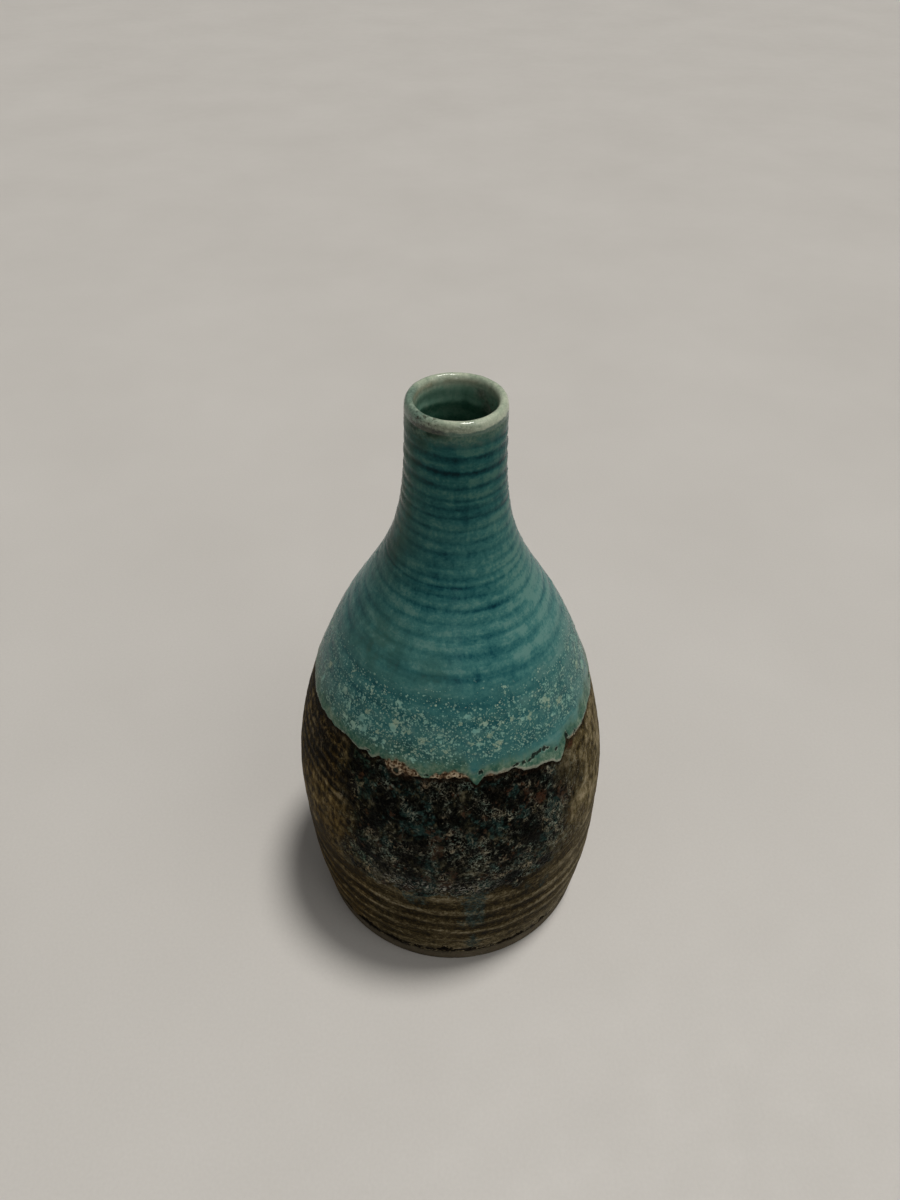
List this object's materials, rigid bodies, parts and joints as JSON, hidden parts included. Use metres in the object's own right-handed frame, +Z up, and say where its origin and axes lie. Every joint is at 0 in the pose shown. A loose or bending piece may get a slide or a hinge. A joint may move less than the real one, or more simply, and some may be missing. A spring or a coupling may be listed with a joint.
{
  "type": "bottle vase",
  "caption": "Wheel-thrown bottle vase: ovoid hollow body with a broad foot, sloping shoulder and straight narrow neck, in thick glaze over a dark crawled coat.",
  "frame": {"origin": "centre of the foot, on the plane the vase stands on", "axes": "+Z up along the throwing axis, towards the mouth; -Y is the side that faces the viewer in the picture"},
  "size_m": [0.1366, 0.1366, 0.26],
  "materials": {
    "stoneware": "bare fired stoneware, rough, grey-brown",
    "liner_glaze": "glossy pale celadon glaze",
    "turquoise_glaze": "glossy turquoise glaze with ringed pooling and pale specks",
    "lava_glaze": "crawled near-black glaze, semi-matt, mottled",
    "brown_wash": "satin dark brown wash over throwing ridges"
  },
  "bodies": {
    "root": {"stoneware_body": "stoneware", "liner_glaze": "liner_glaze", "turquoise_glaze": "turquoise_glaze", "lava_glaze": "lava_glaze", "brown_wash": "brown_wash"}
  },
  "joints": []
}
